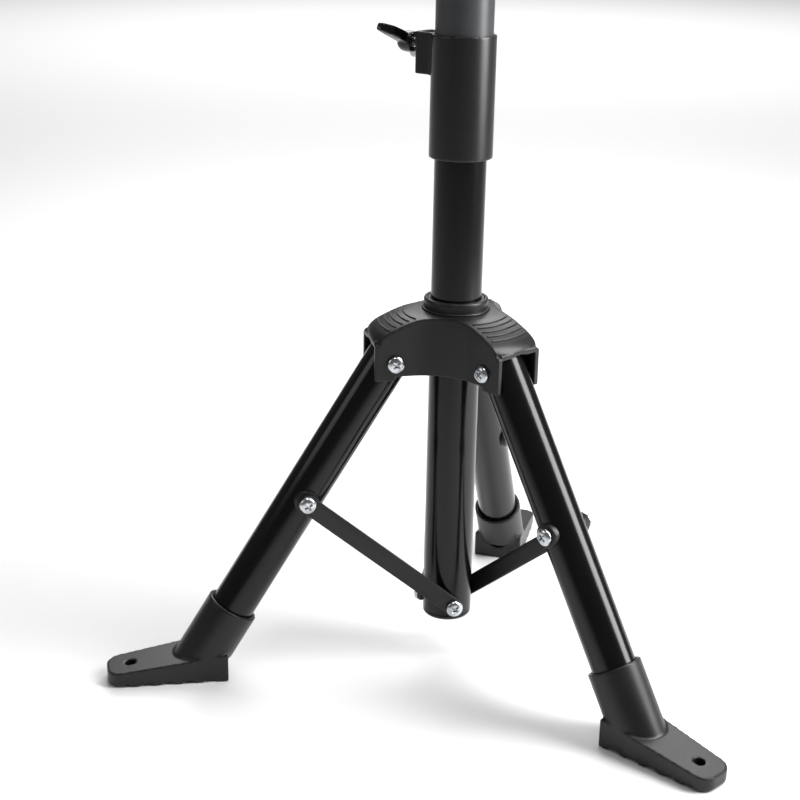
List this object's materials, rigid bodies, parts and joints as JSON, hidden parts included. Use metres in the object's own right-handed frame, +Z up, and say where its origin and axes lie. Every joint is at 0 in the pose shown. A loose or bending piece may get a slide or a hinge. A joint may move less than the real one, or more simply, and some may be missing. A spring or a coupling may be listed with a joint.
{
  "type": "folding tripod mast stand",
  "caption": "Folding tripod base for a round mast: splayed tube legs on a sliding moulded hub, flat stay struts, cleated feet with peg holes, and a telescopic mast with a screw clamp collar.",
  "frame": {"origin": "middle of the flat lower face of the column's end plug, on the mast axis", "axes": "+Z up along the mast; +Y towards the back leg, the left and right legs at 210 and 330 degrees from +X"},
  "size_m": [0.3998, 0.3476, 0.8744],
  "materials": {
    "gloss_black_paint": "gloss",
    "anthracite_paint": "satin",
    "satin_black_steel": "satin",
    "satin_black_collar": "satin",
    "black_moulding": "fine matt grain",
    "knob_plastic": "gloss",
    "wear_bush": "matt",
    "bright_zinc": "bright zinc plate"
  },
  "bodies": {
    "column": {"column_tube": "gloss_black_paint", "column_plug": "black_moulding", "strut_screw_back": "bright_zinc", "strut_screw_left": "bright_zinc", "strut_screw_right": "bright_zinc"},
    "hub": {"hub": "black_moulding", "hub_bush": "wear_bush", "hinge_sleeve_back": "bright_zinc", "hinge_screw_back": "bright_zinc", "hinge_sleeve_left": "bright_zinc", "hinge_screw_left": "bright_zinc", "hinge_sleeve_right": "bright_zinc", "hinge_screw_right": "bright_zinc"},
    "leg_back": {"leg_back": "gloss_black_paint", "leg_cap_back": "black_moulding", "foot_back": "black_moulding", "strut_bolt_back": "bright_zinc", "boss_inner_back": "black_moulding", "boss_outer_back": "black_moulding"},
    "strut_back": {"strut_back": "satin_black_steel", "strut_nut_back": "bright_zinc"},
    "leg_left": {"leg_left": "gloss_black_paint", "leg_cap_left": "black_moulding", "foot_left": "black_moulding", "strut_bolt_left": "bright_zinc", "boss_inner_left": "black_moulding", "boss_outer_left": "black_moulding"},
    "strut_left": {"strut_left": "satin_black_steel", "strut_nut_left": "bright_zinc"},
    "leg_right": {"leg_right": "gloss_black_paint", "leg_cap_right": "black_moulding", "foot_right": "black_moulding", "strut_bolt_right": "bright_zinc", "boss_inner_right": "black_moulding", "boss_outer_right": "black_moulding"},
    "strut_right": {"strut_right": "satin_black_steel", "strut_nut_right": "bright_zinc"},
    "mast_glide": {"collar_bush": "wear_bush"},
    "mast": {"mast_tube": "anthracite_paint", "mast_cap": "black_moulding", "collar": "satin_black_collar", "clamp_nut": "bright_zinc"},
    "clamp_pad": {"clamp_pad": "wear_bush"},
    "clamp_screw": {"clamp_screw": "bright_zinc", "clamp_knob": "knob_plastic"},
    "lock_pad": {"lock_pad": "wear_bush"},
    "lock_screw": {"lock_screw": "bright_zinc", "lock_knob": "knob_plastic"}
  },
  "joints": [
    {"name": "hub_slide", "type": "slide", "parent": "column", "child": "hub", "axis": [0, 0, 1], "range_m": [0, 0.05412]},
    {"name": "leg_hinge_back", "type": "hinge", "parent": "hub", "child": "leg_back", "pos_m": [0, 0.0424, 0.1824], "axis": [-1, 0, 0], "range_deg": [0, 31.67]},
    {"name": "strut_hinge_back", "type": "hinge", "parent": "column", "child": "strut_back", "pos_m": [0, 0, 0.011], "axis": [-1, 0, 0], "range_deg": [-30.67, 0]},
    {"name": "leg_hinge_left", "type": "hinge", "parent": "hub", "child": "leg_left", "pos_m": [-0.03672, -0.0212, 0.1824], "axis": [0.5, -0.866, 0], "range_deg": [0, 31.67]},
    {"name": "strut_hinge_left", "type": "hinge", "parent": "column", "child": "strut_left", "pos_m": [0, 0, 0.011], "axis": [0.5, -0.866, 0], "range_deg": [-30.67, 0]},
    {"name": "leg_hinge_right", "type": "hinge", "parent": "hub", "child": "leg_right", "pos_m": [0.03672, -0.0212, 0.1824], "axis": [0.5, 0.866, 0], "range_deg": [0, 31.67]},
    {"name": "strut_hinge_right", "type": "hinge", "parent": "column", "child": "strut_right", "pos_m": [0, 0, 0.011], "axis": [0.5, 0.866, 0], "range_deg": [-30.67, 0]},
    {"name": "mast_slide", "type": "slide", "parent": "column", "child": "mast_glide", "axis": [0, 0, 1], "range_m": [-0.03, 0.3]},
    {"name": "mast_swivel", "type": "hinge", "parent": "mast_glide", "child": "mast", "pos_m": [0, 0, 0.32], "axis": [0, 0, 1], "continuous": true},
    {"name": "clamp_travel", "type": "slide", "parent": "mast", "child": "clamp_pad", "axis": [-0.9397, 0.342, 0], "range_m": [0, 0.002]},
    {"name": "clamp_turn", "type": "hinge", "parent": "clamp_pad", "child": "clamp_screw", "pos_m": [-0.02819, 0.01026, 0.3725], "axis": [-0.9397, 0.342, 0], "range_deg": [0, 720]},
    {"name": "lock_travel", "type": "slide", "parent": "hub", "child": "lock_pad", "axis": [-0.866, 0.5, 0], "range_m": [0, 0.002]},
    {"name": "lock_turn", "type": "hinge", "parent": "lock_pad", "child": "lock_screw", "pos_m": [-0.02425, 0.014, 0.192], "axis": [-0.866, 0.5, 0], "range_deg": [0, 720]}
  ],
  "couplings": [
    {"joint": "leg_hinge_back", "follows": "hub_slide", "rad_per_m": 10.213},
    {"joint": "strut_hinge_back", "follows": "hub_slide", "rad_per_m": -9.8898},
    {"joint": "leg_hinge_left", "follows": "hub_slide", "rad_per_m": 10.213},
    {"joint": "strut_hinge_left", "follows": "hub_slide", "rad_per_m": -9.8898},
    {"joint": "leg_hinge_right", "follows": "hub_slide", "rad_per_m": 10.213},
    {"joint": "strut_hinge_right", "follows": "hub_slide", "rad_per_m": -9.8898},
    {"joint": "clamp_turn", "follows": "clamp_travel", "rad_per_m": 6283.1},
    {"joint": "lock_turn", "follows": "lock_travel", "rad_per_m": 6283.1}
  ]
}
